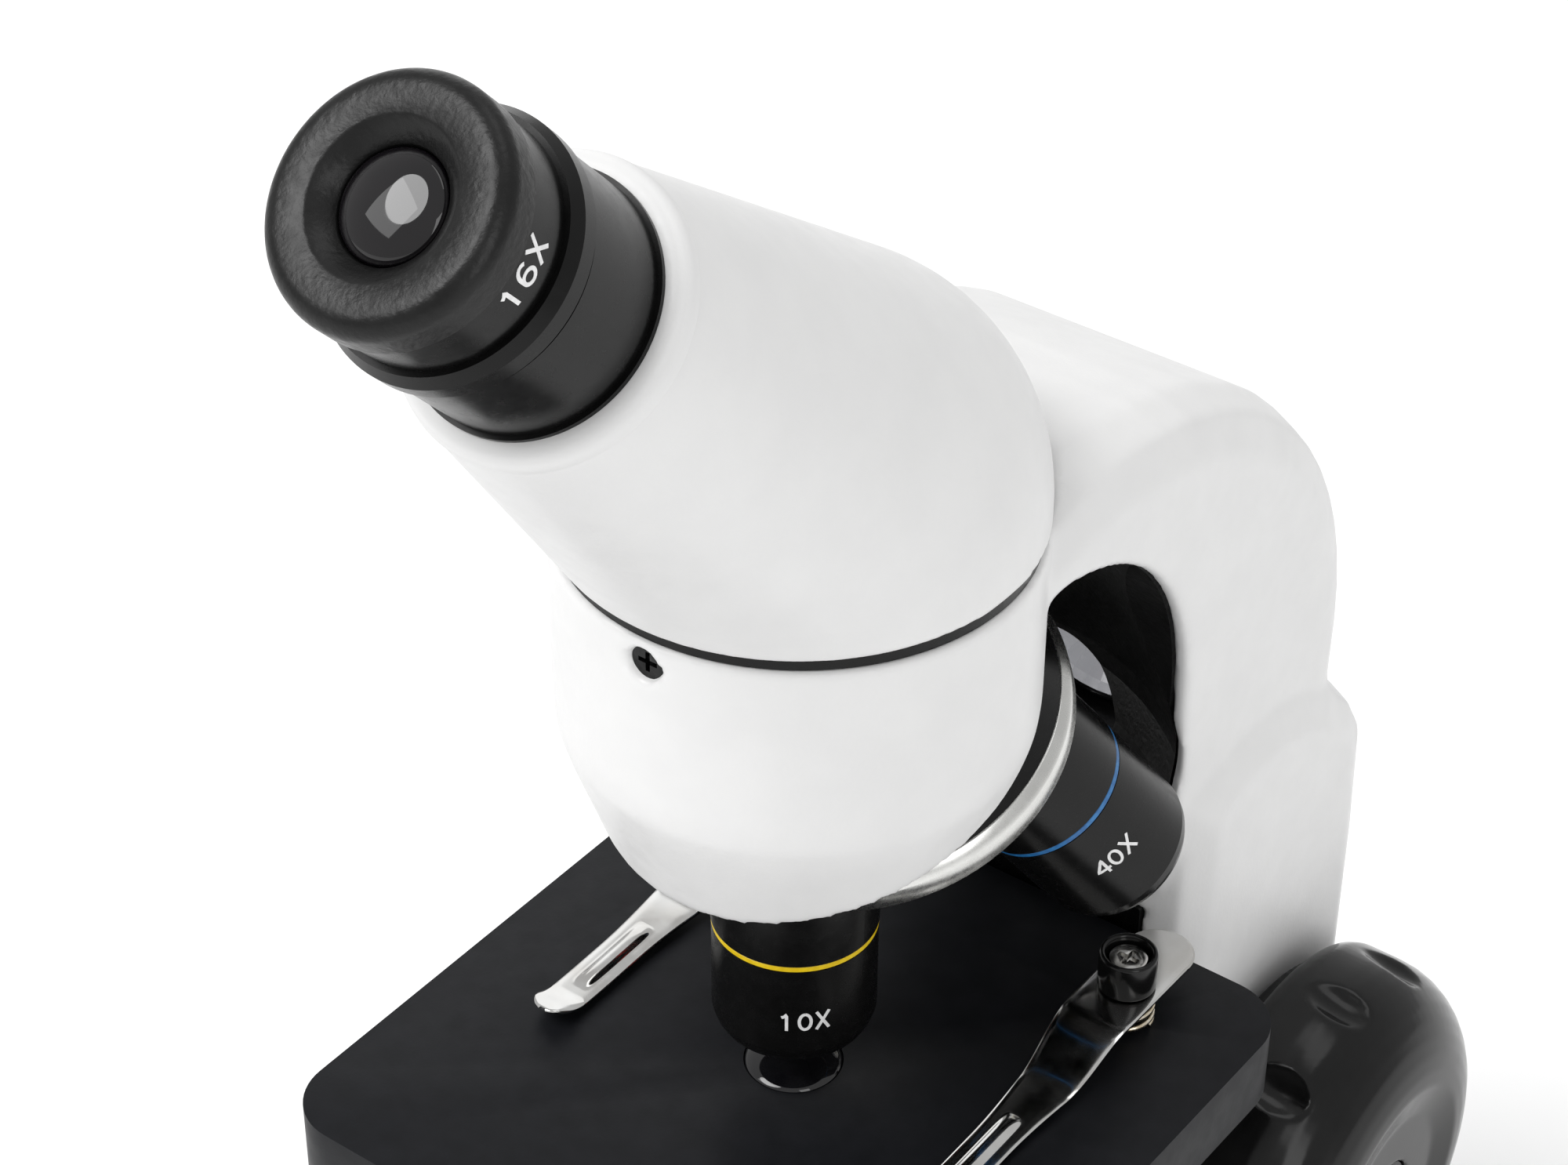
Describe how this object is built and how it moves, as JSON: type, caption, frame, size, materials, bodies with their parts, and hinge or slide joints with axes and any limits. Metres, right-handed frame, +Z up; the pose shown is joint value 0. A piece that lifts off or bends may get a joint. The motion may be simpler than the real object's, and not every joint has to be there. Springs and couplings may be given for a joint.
{
  "type": "microscope",
  "caption": "Monocular student microscope: inclined rotating head, objective turret, black stage with spring clips, coaxial focus knobs and lamps above and below.",
  "frame": {"origin": "middle of the footprint at table level", "axes": "+Z up, -Y towards the user, +X to the user's right-hand focus knob"},
  "size_m": [0.12, 0.174, 0.2794],
  "materials": {
    "white_paint": "fine orange-peel satin white",
    "steel": "zinc plated",
    "chrome": "polished",
    "rubber": "matt",
    "black_plastic": "fine textured black",
    "black_gloss": "satin black",
    "black_metal": "satin black",
    "stage_black": "matt black",
    "ring_aluminium": "turned",
    "brass": "machined",
    "glass": "coated lens",
    "led": "clear epoxy",
    "board": "solder mask",
    "battery": "printed sleeve",
    "mirror": "vacuum metallised"
  },
  "bodies": {
    "stand": {"base_casting": "white_paint", "base_plate": "steel", "base_screws": "steel", "rubber_feet": "rubber", "battery_holder": "black_plastic", "batteries": "battery", "battery_contacts": "chrome", "lower_lamp_collar": "black_plastic", "lower_lamp_lens": "glass", "lower_led": "led", "circuit_board": "board", "dc_inlet": "black_plastic", "arm_casting": "white_paint", "arm_bolts": "steel", "arm_liner": "black_plastic", "upper_lamp_housing": "black_plastic", "upper_reflector": "mirror", "upper_led": "led", "head_lock_screw": "black_metal", "turret_seat": "black_metal", "turret_pivot": "steel", "click_spring": "steel", "slide_guide": "black_metal", "shaft_bushes": "brass"},
    "door": {"battery_door": "black_plastic"},
    "dial": {"brightness_dial": "black_plastic"},
    "switch": {"lamp_switch": "black_plastic"},
    "focus": {"focus_shaft": "steel", "focus_pinion": "brass", "knob_right": "black_gloss", "knob_left": "black_gloss", "knob_screws": "black_metal"},
    "stage": {"stage_carriage": "black_metal", "focus_rack": "steel", "stage_plate": "stage_black", "stage_screws": "steel", "condenser_mount": "black_metal", "condenser_lens": "glass", "diaphragm_pivot": "steel", "clip_screws": "chrome", "clip_springs": "brass"},
    "diaphragm": {"diaphragm_disc": "black_metal"},
    "clip_r": {"clip_right": "chrome", "clip_cap_right": "black_gloss"},
    "clip_l": {"clip_left": "chrome", "clip_cap_left": "black_gloss"},
    "turret": {"turret_disc": "black_metal", "turret_ring": "ring_aluminium", "objective_4x": "black_metal", "objective_10x": "black_metal", "objective_40x": "black_metal", "objective_lenses": "glass"},
    "nose": {"objective_nose": "chrome"},
    "head": {"head_casting": "white_paint", "head_ring": "black_metal", "prism": "glass", "eyepiece_tube": "black_metal"},
    "eyepiece": {"eyepiece_barrel": "black_metal", "eyecup": "black_plastic", "eye_lenses": "glass"}
  },
  "joints": [
    {"name": "stage_slide", "type": "slide", "parent": "stand", "child": "stage", "axis": [0, 0, 1], "range_m": [-0.014, 0.0005]},
    {"name": "focus_turn", "type": "hinge", "parent": "stand", "child": "focus", "pos_m": [0, 0.056, 0.071], "axis": [1, 0, 0], "range_deg": [-5, 126]},
    {"name": "diaphragm_turn", "type": "hinge", "parent": "stage", "child": "diaphragm", "pos_m": [0, -0.026, 0.1077], "axis": [0, 0, 1], "continuous": true},
    {"name": "clip_right_turn", "type": "hinge", "parent": "stage", "child": "clip_r", "pos_m": [0.0285, 0.019, 0.125], "axis": [0, 0, 1], "range_deg": [-25, 25]},
    {"name": "clip_left_turn", "type": "hinge", "parent": "stage", "child": "clip_l", "pos_m": [-0.0285, 0.019, 0.125], "axis": [0, 0, 1], "range_deg": [-25, 25]},
    {"name": "turret_turn", "type": "hinge", "parent": "stand", "child": "turret", "pos_m": [0, -0.00076, 0.16848], "axis": [0, -0.3746, 0.9272], "continuous": true},
    {"name": "nose_spring", "type": "slide", "parent": "turret", "child": "nose", "axis": [-0.3244, -0.521, 0.7895], "range_m": [0, 0.002], "stiffness_N_per_m": 600, "springref_m": -0.001},
    {"name": "head_turn", "type": "hinge", "parent": "stand", "child": "head", "pos_m": [0, -0.012, 0.2025], "axis": [0, 0, 1], "continuous": true},
    {"name": "eyepiece_pull", "type": "slide", "parent": "head", "child": "eyepiece", "axis": [0, -0.6947, 0.7193], "range_m": [0, 0.03]},
    {"name": "dial_turn", "type": "hinge", "parent": "stand", "child": "dial", "pos_m": [0.0463, 0.008, 0.017], "axis": [0, 0, 1], "range_deg": [-135, 135]},
    {"name": "switch_slide", "type": "slide", "parent": "stand", "child": "switch", "axis": [0, 1, 0], "range_m": [-0.0035, 0.0035]},
    {"name": "door_slide", "type": "slide", "parent": "stand", "child": "door", "axis": [0, 0, -1], "range_m": [0, 0.003]}
  ],
  "couplings": [
    {"joint": "focus_turn", "follows": "stage_slide", "rad_per_m": -156.25}
  ]
}
